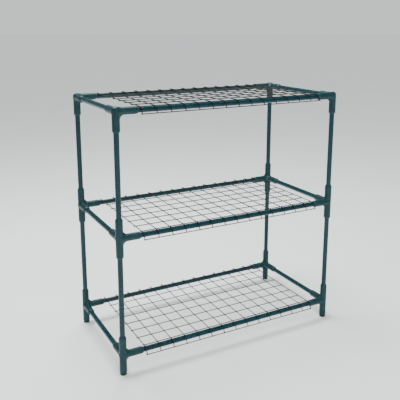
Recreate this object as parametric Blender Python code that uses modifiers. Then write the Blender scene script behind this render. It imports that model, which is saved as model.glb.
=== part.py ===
"""Three-tier wire shelving rack for a greenhouse, modelled in metres with +Z up.

Thin-wall tubes push into moulded corner connectors to make the frame.
Three welded wire shelves hook over the front and rear rails and lift off.
The origin is on the floor under the middle of the rack.
+X runs along the front to the right and +Y runs from the front to the back.
"""
import math

import bmesh
import bpy
from mathutils import Vector

COLLECTION_NAME = "wire_shelving_rack"
CUTTER_COLLECTION_NAME = "wire_shelving_rack_cutters"

# Frame layout, all between tube centre lines.
POST_SPACING_X = 0.750
POST_SPACING_Y = 0.356
TIER_SPACING = 0.361
TIER_NAMES = ("bottom", "middle", "top")

# Tubes.
TUBE_RADIUS = 0.0080
TUBE_WALL = 0.0008
FIT_GAP = 0.0003
ROUND_SIDES = 12

# Corner connectors, sized from the bore that takes the tube.
BORE_RADIUS = TUBE_RADIUS + FIT_GAP
COLUMN_WALL = 0.0029
COLUMN_RADIUS = BORE_RADIUS + COLUMN_WALL
COLUMN_REACH = 0.059
ARM_WALL = 0.0026
ARM_RADIUS = BORE_RADIUS + ARM_WALL
ARM_REACH = 0.064
CAP_RISE = 0.0009
CAP_REACH = ARM_RADIUS + CAP_RISE
CAP_ROUNDING = ((0.0, 0.0053), (0.0015, 0.0017), (0.0046, 0.0))
STOP_WALL = 0.0057
STOP_REACH = BORE_RADIUS + STOP_WALL
MOUTH_EDGE = 0.0019
MOUTH_TAPER = 0.0050
WEB_LEG = 0.0079
WEB_REACH = COLUMN_RADIUS + ARM_RADIUS + WEB_LEG
WEB_THICKNESS = 0.0050

# Foot plugs. The bottom tier stands one connector above the rim of its plug.
PLUG_STEM_LENGTH = 0.0150
PLUG_RIM_HEIGHT = 0.0037
PLUG_RIM_LIP = 0.0022
PLUG_RIM_RADIUS = BORE_RADIUS + PLUG_RIM_LIP
PLUG_SOLE_INSET = 0.0025
PLUG_SOLE_ROUNDING = 0.0015
BOTTOM_TIER_HEIGHT = PLUG_RIM_HEIGHT + FIT_GAP + COLUMN_REACH

# Wire shelves.
WIRE_RADIUS = 0.0012
WIRE_BEVEL_STEPS = 1
WIRE_TILT = math.radians(90.0)
WELD_BITE = 0.00035
SHELF_END_GAP = 0.0055
SHELF_LENGTH = POST_SPACING_X - 2.0 * (ARM_REACH + SHELF_END_GAP)
CROSS_WIRE_PITCH = 0.0443
LEAST_LAST_GAP = 0.0110
CROSS_WIRE_COUNT = math.ceil((SHELF_LENGTH - LEAST_LAST_GAP) / CROSS_WIRE_PITCH) + 1
LONG_WIRE_GAP = 0.0013
LONG_WIRE_SPAN = POST_SPACING_Y - 2.0 * (TUBE_RADIUS + LONG_WIRE_GAP)
LONG_WIRE_PITCH = 0.0482
LONG_WIRE_COUNT = round(LONG_WIRE_SPAN / LONG_WIRE_PITCH) + 1
LONG_WIRE_OVERHANG = 0.0025
HOOK_BEND_OUT = TUBE_RADIUS
HOOK_BEND_RADIUS = 0.0045
HOOK_SPREAD = 0.0120
HOOK_DEPTH = 0.0005
HOOK_TAIL = 0.0020

FRAME_CORNERS = (
    ("front_left", -1, -1, 0),
    ("front_right", 1, -1, 1),
    ("rear_right", 1, 1, 2),
    ("rear_left", -1, 1, 3),
)
ROUND_SHARP_ANGLE = math.radians(38.0)
WIRE_SHARP_ANGLE = math.radians(66.0)
MERGE_DISTANCE = 0.00001
TUBE_SETBACK = STOP_REACH + FIT_GAP
QUARTER_TURN = math.pi / 2.0

# Turns that point a shape made along +Z in another direction.
ALONG_X = (0.0, QUARTER_TURN, 0.0)
ALONG_Y = (-QUARTER_TURN, 0.0, 0.0)
ALONG_Z = (0.0, 0.0, 0.0)
DOWNWARD = (math.pi, 0.0, 0.0)


def tier_height(index):
    """Return the height of the rail centre line of one tier."""
    return BOTTOM_TIER_HEIGHT + TIER_SPACING * index


def clear_scene():
    """Remove every object that is already in the scene."""
    for item in list(bpy.data.objects):
        bpy.data.objects.remove(item, do_unlink=True)


def new_collection(name):
    """Make a collection and link it to the scene."""
    group = bpy.data.collections.new(name)
    bpy.context.scene.collection.children.link(group)
    return group


def new_material(name, colour, roughness, metallic):
    """Make a Principled material with one colour, roughness and metallic value."""
    material = bpy.data.materials.new(name)
    material.use_nodes = True
    shader = material.node_tree.nodes["Principled BSDF"]
    shader.inputs["Base Color"].default_value = (*colour, 1.0)
    shader.inputs["Roughness"].default_value = roughness
    shader.inputs["Metallic"].default_value = metallic
    return material


def evaluated_mesh(item):
    """Return an object's mesh with its modifiers applied, welded and facing outward."""
    graph = bpy.context.evaluated_depsgraph_get()
    mesh = bpy.data.meshes.new_from_object(item.evaluated_get(graph))
    working = bmesh.new()
    working.from_mesh(mesh)
    bmesh.ops.remove_doubles(working, verts=working.verts, dist=MERGE_DISTANCE)
    bmesh.ops.dissolve_degenerate(working, edges=working.edges, dist=MERGE_DISTANCE)
    bmesh.ops.recalc_face_normals(working, faces=working.faces)
    working.to_mesh(mesh)
    working.free()
    return mesh


def turned_object(name, profile, cutters, rotation=ALONG_Z, closed=False):
    """Turn a profile of (radius, height) points about its own +Z axis.

    The profile runs down its outer side, from top to bottom.
    A closed profile makes a ring, and any other profile starts and ends on the axis.
    """
    mesh = bpy.data.meshes.new(name)
    edges = [(index, index + 1) for index in range(len(profile) - 1)]
    if closed:
        edges.append((len(profile) - 1, 0))
    mesh.from_pydata([(radius, 0.0, height) for radius, height in profile], edges, [])
    item = bpy.data.objects.new(name, mesh)
    item.rotation_euler = rotation
    cutters.objects.link(item)
    screw = item.modifiers.new("turn", "SCREW")
    screw.steps = ROUND_SIDES
    screw.render_steps = ROUND_SIDES
    screw.use_merge_vertices = True
    screw.merge_threshold = MERGE_DISTANCE
    return item


def mesh_from_curve(curve_object, cutters):
    """Replace a curve object by a mesh object in the same place, with its caps welded."""
    mesh = evaluated_mesh(curve_object)
    item = bpy.data.objects.new(curve_object.name + "_mesh", mesh)
    item.matrix_world = curve_object.matrix_world
    cutters.objects.link(item)
    bpy.data.objects.remove(curve_object, do_unlink=True)
    return item


def plate_object(name, outline, thickness, rotation, cutters):
    """Make a flat plate from an outline of (x, y) points, centred on the outline's plane."""
    curve = bpy.data.curves.new(name, "CURVE")
    curve.dimensions = "2D"
    curve.fill_mode = "BOTH"
    curve.extrude = thickness / 2.0
    spline = curve.splines.new("POLY")
    spline.points.add(len(outline) - 1)
    for point, (x, y) in zip(spline.points, outline):
        point.co = (x, y, 0.0, 1.0)
    spline.use_cyclic_u = True
    item = bpy.data.objects.new(name, curve)
    item.rotation_euler = rotation
    cutters.objects.link(item)
    bpy.context.view_layer.update()
    return mesh_from_curve(item, cutters)


def wire_object(name, paths, cutters):
    """Make round wires with flat ends, one along each path of points."""
    curve = bpy.data.curves.new(name, "CURVE")
    curve.dimensions = "3D"
    curve.bevel_depth = WIRE_RADIUS
    curve.bevel_resolution = WIRE_BEVEL_STEPS
    curve.use_fill_caps = True
    for path in paths:
        spline = curve.splines.new("POLY")
        spline.points.add(len(path) - 1)
        for point, place in zip(spline.points, path):
            point.co = (*place, 1.0)
            point.tilt = WIRE_TILT
    item = bpy.data.objects.new(name, curve)
    cutters.objects.link(item)
    return mesh_from_curve(item, cutters)


def apply_boolean(body, tool, operation):
    """Join another object to a body or cut it away, and keep the cleaned result as the body's mesh."""
    modifier = body.modifiers.new(tool.name, "BOOLEAN")
    modifier.operation = operation
    modifier.solver = "EXACT"
    modifier.object = tool
    body.data = evaluated_mesh(body)
    body.modifiers.clear()


def smooth_mesh(item, sharp_angle):
    """Return an object's finished mesh, shaded smooth up to an angle."""
    mesh = evaluated_mesh(item)
    mesh.shade_smooth()
    mesh.set_sharp_from_angle(angle=sharp_angle)
    return mesh


def place_part(name, mesh, material, parent, group, location, rotation=ALONG_Z):
    """Add a part that shares a mesh, at its own location and rotation."""
    if not mesh.materials:
        mesh.materials.append(material)
    item = bpy.data.objects.new(name, mesh)
    item.parent = parent
    item.location = location
    item.rotation_euler = rotation
    group.objects.link(item)
    return item


def tube_mesh(length, cutters):
    """Make a thin-wall tube along +Z, centred on the origin."""
    inner = TUBE_RADIUS - TUBE_WALL
    half = length / 2.0
    section = [(TUBE_RADIUS, half), (TUBE_RADIUS, -half), (inner, -half), (inner, half)]
    return smooth_mesh(turned_object("tube", section, cutters, closed=True), ROUND_SHARP_ANGLE)


def mouth_profile(radius, reach):
    """Return the profile of a socket mouth, from its axis to its full radius."""
    return [(0.0, reach), (radius - MOUTH_EDGE, reach), (radius, reach - MOUTH_TAPER)]


def column_object(capped, cutters):
    """Make the solid upright body of a connector, capped or open at its top."""
    if capped:
        upper = [(COLUMN_RADIUS - inset, CAP_REACH - drop) for inset, drop in reversed(CAP_ROUNDING)]
        upper.insert(0, (0.0, CAP_REACH))
    else:
        upper = mouth_profile(COLUMN_RADIUS, COLUMN_REACH)
    lower = [(radius, -height) for radius, height in reversed(mouth_profile(COLUMN_RADIUS, COLUMN_REACH))]
    return turned_object("column", upper + lower, cutters)


def arm_object(rotation, cutters):
    """Make one solid side arm that starts at the middle of the connector."""
    profile = mouth_profile(ARM_RADIUS, ARM_REACH) + [(ARM_RADIUS, 0.0), (0.0, 0.0)]
    return turned_object("arm", profile, cutters, rotation)


def bore_object(rotation, reach, cutters):
    """Make the cutter for one blind socket."""
    end = reach + MOUTH_TAPER
    profile = [(0.0, end), (BORE_RADIUS, end), (BORE_RADIUS, STOP_REACH), (0.0, STOP_REACH)]
    return turned_object("bore", profile, cutters, rotation)


def web_objects(capped, cutters):
    """Make a connector's webs: one between its arms and the others between an arm and the column."""
    corner = [(0.0, 0.0), (WEB_REACH, 0.0), (0.0, WEB_REACH)]
    below = [(0.0, 0.0), (WEB_REACH, 0.0), (0.0, -WEB_REACH)]
    webs = [plate_object("level_web", corner, WEB_THICKNESS, ALONG_Z, cutters)]
    upright_outlines = [below] if capped else [below, corner]
    for outline in upright_outlines:
        for turn in (0.0, QUARTER_TURN):
            rotation = (QUARTER_TURN, 0.0, turn)
            webs.append(plate_object("upright_web", outline, WEB_THICKNESS, rotation, cutters))
    return webs


def connector_mesh(capped, cutters):
    """Make a corner connector with side arms along +X and +Y.

    A capped connector has no upper socket and a rounded closed top.
    """
    body = column_object(capped, cutters)
    arms = [arm_object(ALONG_X, cutters), arm_object(ALONG_Y, cutters)]
    for addition in arms + web_objects(capped, cutters):
        apply_boolean(body, addition, "UNION")
    sockets = [(ALONG_X, ARM_REACH), (ALONG_Y, ARM_REACH), (DOWNWARD, COLUMN_REACH)]
    if not capped:
        sockets.append((ALONG_Z, COLUMN_REACH))
    for rotation, reach in sockets:
        apply_boolean(body, bore_object(rotation, reach, cutters), "DIFFERENCE")
    return smooth_mesh(body, ROUND_SHARP_ANGLE)


def foot_plug_mesh(cutters):
    """Make the closed foot that plugs the lowest socket, standing on z = 0."""
    stem_top = PLUG_RIM_HEIGHT + PLUG_STEM_LENGTH
    profile = [
        (0.0, stem_top),
        (TUBE_RADIUS, stem_top),
        (TUBE_RADIUS, PLUG_RIM_HEIGHT),
        (PLUG_RIM_RADIUS, PLUG_RIM_HEIGHT),
        (PLUG_RIM_RADIUS, PLUG_SOLE_ROUNDING),
        (PLUG_RIM_RADIUS - PLUG_SOLE_INSET, 0.0),
        (0.0, 0.0),
    ]
    return smooth_mesh(turned_object("foot_plug", profile, cutters), ROUND_SHARP_ANGLE)


def hook_points():
    """Return half of a cross wire as (outward, height) points from a rail centre line."""
    top = TUBE_RADIUS + FIT_GAP + WIRE_RADIUS
    corner = Vector((HOOK_BEND_OUT, top))
    end = Vector((HOOK_BEND_OUT + HOOK_SPREAD, -TUBE_RADIUS - HOOK_DEPTH))
    down = (end - corner).normalized()
    turn = math.acos(down.x)
    run = HOOK_BEND_RADIUS * math.tan(turn / 2.0)
    first = corner - Vector((run, 0.0))
    second = corner + down * run
    tail = end + down * HOOK_TAIL
    return [first, second, tail], end, down


def cross_wire_path(x):
    """Return the path of one front-to-back wire, hooked at both ends."""
    points, _, _ = hook_points()
    half = POST_SPACING_Y / 2.0
    rear = [Vector((x, half + point.x, point.y)) for point in points]
    front = [Vector((x, -half - point.x, point.y)) for point in reversed(points)]
    return front + rear


def cross_wire_positions():
    """Return the x of each front-to-back wire, with the last gap taking what is left."""
    start = -SHELF_LENGTH / 2.0
    positions = [start + CROSS_WIRE_PITCH * index for index in range(CROSS_WIRE_COUNT - 1)]
    positions.append(SHELF_LENGTH / 2.0)
    return positions


def long_wire_places():
    """Return the (y, z) of each lengthwise wire, from the front lip to the rear lip."""
    _, end, down = hook_points()
    drop = 2.0 * WIRE_RADIUS - WELD_BITE
    inward = Vector((down.y, -down.x))
    lip = end + inward * drop
    half = POST_SPACING_Y / 2.0
    level = TUBE_RADIUS + FIT_GAP + WIRE_RADIUS - drop
    pitch = LONG_WIRE_SPAN / (LONG_WIRE_COUNT - 1)
    places = [(-half - lip.x, lip.y)]
    places += [(-LONG_WIRE_SPAN / 2.0 + pitch * index, level) for index in range(LONG_WIRE_COUNT)]
    places.append((half + lip.x, lip.y))
    return places


def shelf_mesh(cutters):
    """Make one welded wire shelf with its rail centre line height at z = 0."""
    crossing = wire_object("cross_wires", [cross_wire_path(x) for x in cross_wire_positions()], cutters)
    reach = SHELF_LENGTH / 2.0 + WIRE_RADIUS + LONG_WIRE_OVERHANG
    straight_paths = [[Vector((-reach, y, z)), Vector((reach, y, z))] for y, z in long_wire_places()]
    apply_boolean(crossing, wire_object("long_wires", straight_paths, cutters), "UNION")
    return smooth_mesh(crossing, WIRE_SHARP_ANGLE)


def build_connectors(group, cutters, parent, material):
    """Place the twelve corner connectors."""
    open_corner = connector_mesh(False, cutters)
    capped_corner = connector_mesh(True, cutters)
    for index, tier in enumerate(TIER_NAMES):
        mesh = capped_corner if tier == "top" else open_corner
        for corner, sign_x, sign_y, turns in FRAME_CORNERS:
            location = (sign_x * POST_SPACING_X / 2.0, sign_y * POST_SPACING_Y / 2.0, tier_height(index))
            rotation = (0.0, 0.0, QUARTER_TURN * turns)
            place_part(f"connector_{tier}_{corner}", mesh, material, parent, group, location, rotation)


def build_uprights(group, cutters, parent, material):
    """Place the upright tubes that join one tier to the next."""
    mesh = tube_mesh(TIER_SPACING - 2.0 * TUBE_SETBACK, cutters)
    for index, level in enumerate(("lower", "upper")):
        height = tier_height(index) + TIER_SPACING / 2.0
        for corner, sign_x, sign_y, _ in FRAME_CORNERS:
            location = (sign_x * POST_SPACING_X / 2.0, sign_y * POST_SPACING_Y / 2.0, height)
            place_part(f"upright_{level}_{corner}", mesh, material, parent, group, location)


def build_rails(group, cutters, parent, material):
    """Place the front, rear, left and right rails of every tier."""
    long_rail = tube_mesh(POST_SPACING_X - 2.0 * TUBE_SETBACK, cutters)
    short_rail = tube_mesh(POST_SPACING_Y - 2.0 * TUBE_SETBACK, cutters)
    for index, tier in enumerate(TIER_NAMES):
        height = tier_height(index)
        for side, sign in (("front", -1), ("rear", 1)):
            location = (0.0, sign * POST_SPACING_Y / 2.0, height)
            place_part(f"rail_{tier}_{side}", long_rail, material, parent, group, location, ALONG_X)
        for side, sign in (("left", -1), ("right", 1)):
            location = (sign * POST_SPACING_X / 2.0, 0.0, height)
            place_part(f"rail_{tier}_{side}", short_rail, material, parent, group, location, ALONG_Y)


def build_feet(group, cutters, parent, material):
    """Place the four foot plugs."""
    mesh = foot_plug_mesh(cutters)
    for corner, sign_x, sign_y, _ in FRAME_CORNERS:
        location = (sign_x * POST_SPACING_X / 2.0, sign_y * POST_SPACING_Y / 2.0, 0.0)
        place_part(f"foot_plug_{corner}", mesh, material, parent, group, location)


def build_shelves(group, cutters, parent, material):
    """Place one wire shelf on each tier, with its origin at the height it lifts from."""
    mesh = shelf_mesh(cutters)
    for index, tier in enumerate(TIER_NAMES):
        place_part(f"shelf_{tier}", mesh, material, parent, group, (0.0, 0.0, tier_height(index)))


def main():
    """Build the whole rack."""
    clear_scene()
    group = new_collection(COLLECTION_NAME)
    cutters = new_collection(CUTTER_COLLECTION_NAME)
    rack = bpy.data.objects.new("rack_origin", None)
    group.objects.link(rack)
    tube_coating = new_material("tube_coating", (0.018, 0.075, 0.082), 0.28, 0.0)
    connector_plastic = new_material("connector_plastic", (0.026, 0.110, 0.100), 0.38, 0.0)
    foot_plastic = new_material("foot_plastic", (0.020, 0.085, 0.078), 0.55, 0.0)
    wire_coating = new_material("wire_coating", (0.030, 0.060, 0.052), 0.40, 0.0)
    build_connectors(group, cutters, rack, connector_plastic)
    build_uprights(group, cutters, rack, tube_coating)
    build_rails(group, cutters, rack, tube_coating)
    build_feet(group, cutters, rack, foot_plastic)
    build_shelves(group, cutters, rack, wire_coating)
    for tool in cutters.objects:
        tool.hide_render = True
        tool.display_type = "WIRE"


if __name__ == "__main__":
    main()
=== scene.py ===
"""Studio scene of a three-tier wire shelving rack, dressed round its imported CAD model."""
import logging
import math
from dataclasses import dataclass, field
from enum import Enum
from typing import Any, Iterable, Mapping, Sequence

import bmesh
import bpy
import numpy as np
from mathutils import Matrix, Vector


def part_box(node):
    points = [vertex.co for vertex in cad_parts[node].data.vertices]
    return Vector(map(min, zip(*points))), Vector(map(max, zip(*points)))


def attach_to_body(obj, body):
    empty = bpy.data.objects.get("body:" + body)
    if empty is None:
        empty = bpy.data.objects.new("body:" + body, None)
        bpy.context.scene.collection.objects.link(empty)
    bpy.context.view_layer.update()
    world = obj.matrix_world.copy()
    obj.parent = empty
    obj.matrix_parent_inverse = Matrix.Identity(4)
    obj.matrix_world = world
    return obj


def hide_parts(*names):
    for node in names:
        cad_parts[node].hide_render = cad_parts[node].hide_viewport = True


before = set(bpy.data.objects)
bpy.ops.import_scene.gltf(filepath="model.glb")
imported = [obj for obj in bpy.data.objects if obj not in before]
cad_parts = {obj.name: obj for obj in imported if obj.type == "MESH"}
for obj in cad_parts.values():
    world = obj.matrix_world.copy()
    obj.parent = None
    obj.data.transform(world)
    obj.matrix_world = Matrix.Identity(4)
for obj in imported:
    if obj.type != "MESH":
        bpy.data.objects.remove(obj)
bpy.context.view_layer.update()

LOG = logging.getLogger("rack")
QUARTER = math.pi / 2.0
SHARP_ANGLE = math.radians(48.0)
RING_START = -math.pi / 4.0
KEYS_PER_METRE = 1e7

Colour = tuple[float, float, float]
Point = tuple[float, float, float]


class Tier(Enum):
    """The three shelf levels."""

    BOTTOM = "bottom"
    MIDDLE = "middle"
    TOP = "top"


class Corner(Enum):
    """The four uprights, with the quarter turns of a fitting."""

    FRONT_LEFT = ("front_left", 0)
    FRONT_RIGHT = ("front_right", 1)
    REAR_RIGHT = ("rear_right", 2)
    REAR_LEFT = ("rear_left", 3)

    @property
    def label(self) -> str:
        """Name of the corner as the CAD nodes spell it."""
        return self.value[0]

    @property
    def turns(self) -> int:
        """Quarter turns about +Z that bring a front left fitting to this corner."""
        return self.value[1]


class Run(Enum):
    """The direction that a tube runs in."""

    ALONG_X = 0
    ALONG_Y = 1
    ALONG_Z = 2

    def matrix(self) -> Matrix:
        """Find the rotation that turns +Z to this direction.

        Returns:
            The 4 by 4 rotation.
        """
        if self is Run.ALONG_X:
            return Matrix.Rotation(QUARTER, 4, "Y")
        if self is Run.ALONG_Y:
            return Matrix.Rotation(-QUARTER, 4, "X")
        return Matrix.Identity(4)


# ---------------------------------------------------------------- node helpers


class Signal:
    """A shader value that adds Math nodes when it is used in an expression."""

    def __init__(self, graph: "Graph", socket: bpy.types.NodeSocket) -> None:
        """Keep the graph and the output socket."""
        self.graph = graph
        self.socket = socket

    def _math(self, operation: str, *values: Any) -> "Signal":
        """Add one Math node.

        Args:
            operation: the Math node's operation.
            values: its inputs in order, as signals or numbers.

        Returns:
            The node's result as a signal.
        """
        made = self.graph.node("ShaderNodeMath", {"operation": operation}, dict(enumerate(values)))
        return Signal(self.graph, made.outputs[0])

    def __add__(self, other: Any) -> "Signal":
        """Sum."""
        return self._math("ADD", self, other)

    def __radd__(self, other: Any) -> "Signal":
        """Sum with the number first."""
        return self._math("ADD", other, self)

    def __sub__(self, other: Any) -> "Signal":
        """Difference."""
        return self._math("SUBTRACT", self, other)

    def __rsub__(self, other: Any) -> "Signal":
        """Difference with the number first."""
        return self._math("SUBTRACT", other, self)

    def __mul__(self, other: Any) -> "Signal":
        """Product."""
        return self._math("MULTIPLY", self, other)

    def __rmul__(self, other: Any) -> "Signal":
        """Product with the number first."""
        return self._math("MULTIPLY", other, self)

    def absolute(self) -> "Signal":
        """Value without its sign."""
        return self._math("ABSOLUTE", self)

    def at_most(self, limit: Any) -> "Signal":
        """Value held down to a limit."""
        return self._math("MINIMUM", self, limit)

    def ramp(self, start: float, end: float) -> "Signal":
        """Smooth step between two values.

        Args:
            start: value that gives 0.
            end: value that gives 1, which may be the lower one.

        Returns:
            A signal from 0 to 1.
        """
        low, high = min(start, end), max(start, end)
        made = self.graph.node(
            "ShaderNodeMapRange",
            {"interpolation_type": "SMOOTHSTEP", "clamp": True},
            {"Value": self, "From Min": low, "From Max": high},
        )
        rising = Signal(self.graph, made.outputs[0])
        return rising if start < end else 1.0 - rising


class Graph:
    """The node tree of one material."""

    def __init__(self, name: str) -> None:
        """Make an empty material with an output node.

        Args:
            name: the material's name.
        """
        self.material = bpy.data.materials.new(name)
        self.material.use_nodes = True
        self.tree = self.material.node_tree
        self.tree.nodes.clear()
        self.output = self.tree.nodes.new("ShaderNodeOutputMaterial")
        self._coordinates = self.node("ShaderNodeTexCoord", {}, {})

    def node(self, kind: str, settings: Mapping[str, Any], inputs: Mapping[Any, Any]) -> bpy.types.Node:
        """Add a node.

        Args:
            kind: the node's type name.
            settings: its own properties, set first.
            inputs: values, signals or sockets by input name or index.

        Returns:
            The new node.
        """
        made = self.tree.nodes.new(kind)
        for key, value in settings.items():
            setattr(made, key, value)
        for key, value in inputs.items():
            target = made.inputs[key]
            if isinstance(value, Signal):
                self.tree.links.new(value.socket, target)
            elif isinstance(value, bpy.types.NodeSocket):
                self.tree.links.new(value, target)
            elif isinstance(value, (tuple, list)) and len(value) == 3 and target.type == "RGBA":
                target.default_value = (*value, 1.0)
            else:
                target.default_value = value
        return made

    def surface_place(self, scale: Point) -> bpy.types.NodeSocket:
        """Read the piece's own UV map, in metres, through a Mapping node.

        Args:
            scale: features per metre along the map's axes.

        Returns:
            The scaled coordinates.
        """
        source = self.node("ShaderNodeUVMap", {"uv_map": "surface"}, {}).outputs["UV"]
        return self.node("ShaderNodeMapping", {}, {"Vector": source, "Scale": scale}).outputs["Vector"]

    def attribute(self, name: str) -> Signal:
        """Read a number that the mesh carries at its points.

        Args:
            name: the attribute's name.

        Returns:
            The number as a signal.
        """
        made = self.node("ShaderNodeAttribute", {"attribute_name": name, "attribute_type": "GEOMETRY"}, {})
        return Signal(self, made.outputs["Fac"])

    def height(self) -> Signal:
        """Height above the floor in metres."""
        made = self.node("ShaderNodeSeparateXYZ", {}, {"Vector": self._coordinates.outputs["Object"]})
        return Signal(self, made.outputs["Z"])

    def facing_up(self) -> Signal:
        """How far the surface faces up, from -1 to 1."""
        normal = self.node("ShaderNodeNewGeometry", {}, {}).outputs["Normal"]
        return Signal(self, self.node("ShaderNodeSeparateXYZ", {}, {"Vector": normal}).outputs["Z"])

    def noise(
        self,
        scale: float,
        detail: float = 3.0,
        roughness: float = 0.5,
        vector: bpy.types.NodeSocket | None = None,
    ) -> Signal:
        """Soft noise from 0 to 1.

        Args:
            scale: features per metre.
            detail: octaves.
            roughness: weight of the finer octaves.
            vector: coordinates, or Object coordinates if left out.

        Returns:
            The noise as a signal.
        """
        made = self.node(
            "ShaderNodeTexNoise",
            {"noise_dimensions": "3D"},
            {
                "Vector": vector or self._coordinates.outputs["Object"],
                "Scale": scale,
                "Detail": detail,
                "Roughness": roughness,
            },
        )
        return Signal(self, made.outputs["Fac"])

    def cells(self, scale: float) -> Signal:
        """Find the distance to the nearest point of a cell pattern.

        Args:
            scale: cells per metre.

        Returns:
            The distance as a signal.
        """
        vector = self._coordinates.outputs["Object"]
        made = self.node("ShaderNodeTexVoronoi", {"feature": "F1"}, {"Vector": vector, "Scale": scale})
        return Signal(self, made.outputs["Distance"])

    def mix(self, amount: Any, first: Any, second: Any) -> bpy.types.NodeSocket:
        """Blend two colours.

        Args:
            amount: how much of the second colour, as a signal or number.
            first: a colour or colour socket.
            second: a colour or colour socket.

        Returns:
            The colour socket.
        """
        made = self.node("ShaderNodeMix", {"data_type": "RGBA"}, {"Factor": amount})
        for index, value in ((6, first), (7, second)):
            if isinstance(value, bpy.types.NodeSocket):
                self.tree.links.new(value, made.inputs[index])
            else:
                made.inputs[index].default_value = (*value, 1.0)
        return made.outputs[2]

    def bump(self, relief: Signal, depth: float) -> bpy.types.NodeSocket:
        """Turn a relief into a normal.

        Args:
            relief: the relief, mostly from 0 to 1.
            depth: its full height in metres.

        Returns:
            The normal.
        """
        made = self.node("ShaderNodeBump", {}, {"Height": relief, "Distance": depth, "Strength": 1.0})
        return made.outputs["Normal"]

    def surface(self, varying: Mapping[str, Any], fixed: Mapping[str, float]) -> bpy.types.Material:
        """Add the Principled shader and finish the material.

        Args:
            varying: inputs that change over the surface.
            fixed: inputs that are the same all over.

        Returns:
            The material.
        """
        made = self.node("ShaderNodeBsdfPrincipled", {}, {**fixed, **varying})
        self.tree.links.new(made.outputs["BSDF"], self.output.inputs["Surface"])
        return self.material


# -------------------------------------------------------------------- finishes


@dataclass(frozen=True)
class CoatedTubeFinish:
    """Glossy plastic coating on thin steel tube."""

    deep: Colour = (0.0012, 0.0215, 0.0300)
    light: Colour = (0.0032, 0.0365, 0.0480)
    dust: Colour = (0.075, 0.095, 0.092)
    scuff: Colour = (0.024, 0.060, 0.066)
    roughness: float = 0.27
    relief_depth: float = 0.000018
    socket_depth: float = 0.050

    def build(self) -> bpy.types.Material:
        """Make the material.

        Returns:
            Tube coating with flow, drawn lines, scuffs near the sockets and a little dust on top.
        """
        graph = Graph("tube_coating_finish")
        broad = graph.noise(9.0, 3.0)
        mottled = graph.noise(140.0, 4.0, 0.6)
        drawn = graph.noise(1.0, 3.0, 0.55, graph.surface_place((1400.0, 9.0, 1.0)))
        streaks = graph.noise(1.0, 2.0, 0.5, graph.surface_place((260.0, 3.5, 1.0)))
        peel = graph.noise(620.0, 2.0, 0.4)
        near_socket = graph.attribute("from_end").ramp(self.socket_depth + 0.020, self.socket_depth - 0.004)
        worn = (drawn.ramp(0.60, 0.70) * near_socket).at_most(1.0)
        scratch = drawn.ramp(0.665, 0.72) * graph.noise(26.0, 2.0).ramp(0.54, 0.66)
        dusty = graph.facing_up().ramp(0.35, 1.0) * graph.noise(55.0, 5.0, 0.65).ramp(0.42, 0.75)
        colour = graph.mix((broad * 0.55 + mottled * 0.45).ramp(0.30, 0.70), self.deep, self.light)
        colour = graph.mix(streaks.ramp(0.45, 0.75) * 0.35, colour, self.light)
        colour = graph.mix(worn * 0.45 + scratch * 0.30, colour, self.scuff)
        colour = graph.mix(dusty * 0.16, colour, self.dust)
        rough = self.roughness + (mottled - 0.5) * 0.16 + dusty * 0.18 + worn * 0.12 + (streaks - 0.5) * 0.06
        relief = peel * 0.4 + drawn * 0.2 + mottled * 0.4 - scratch * 0.5
        return graph.surface(
            {"Base Color": colour, "Roughness": rough, "Normal": graph.bump(relief, self.relief_depth)},
            {
                "Metallic": 0.0,
                "IOR": 1.50,
                "Specular IOR Level": 0.26,
                "Coat Weight": 0.08,
                "Coat Roughness": 0.12,
            },
        )


@dataclass(frozen=True)
class MouldedPlasticFinish:
    """Satin injection-moulded plastic with a parting line."""

    name: str = "connector_plastic_finish"
    deep: Colour = (0.0022, 0.0255, 0.0310)
    light: Colour = (0.0052, 0.0420, 0.0480)
    rubbed: Colour = (0.034, 0.085, 0.082)
    dust: Colour = (0.085, 0.100, 0.095)
    roughness: float = 0.36
    relief_depth: float = 0.00004
    floor_grime: float = 0.0

    def build(self) -> bpy.types.Material:
        """Make the material.

        Returns:
            Moulded plastic with flow marks, fine grain, a parting line and rubbed mouths.
        """
        graph = Graph(self.name)
        flow = graph.noise(38.0, 3.0, 0.55)
        swirl = graph.noise(130.0, 4.0, 0.6)
        grain = graph.noise(1500.0, 2.0, 0.5)
        pits = graph.cells(700.0)
        parting = graph.attribute("parting").absolute().ramp(0.00045, 0.00012)
        lip = graph.attribute("lip")
        rubbed = (lip.ramp(0.35, 1.0) * swirl.ramp(0.40, 0.62)).at_most(1.0)
        nicks = graph.noise(330.0, 3.0, 0.7).ramp(0.66, 0.72) * graph.noise(45.0, 2.0).ramp(0.48, 0.62)
        dusty = graph.facing_up().ramp(0.40, 1.0) * graph.noise(60.0, 5.0, 0.65).ramp(0.42, 0.75)
        colour = graph.mix((flow * 0.6 + swirl * 0.4).ramp(0.32, 0.68), self.deep, self.light)
        colour = graph.mix(parting * 0.30 + rubbed * 0.38 + nicks * 0.25, colour, self.rubbed)
        colour = graph.mix(dusty * 0.15, colour, self.dust)
        rough = self.roughness + (swirl - 0.5) * 0.14 + grain * 0.05 + dusty * 0.15 - rubbed * 0.08
        if self.floor_grime > 0.0:
            grime = graph.height().ramp(0.007, 0.0) * graph.noise(240.0, 4.0, 0.7).ramp(0.35, 0.65)
            colour = graph.mix(grime * self.floor_grime, colour, self.dust)
            rough = rough + grime * 0.2
        relief = grain * 0.35 + swirl * 0.35 + parting * 2.6 - nicks * 1.2 + pits * 0.25
        return graph.surface(
            {"Base Color": colour, "Roughness": rough, "Normal": graph.bump(relief, self.relief_depth)},
            {"Metallic": 0.0, "IOR": 1.49, "Specular IOR Level": 0.28},
        )


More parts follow.
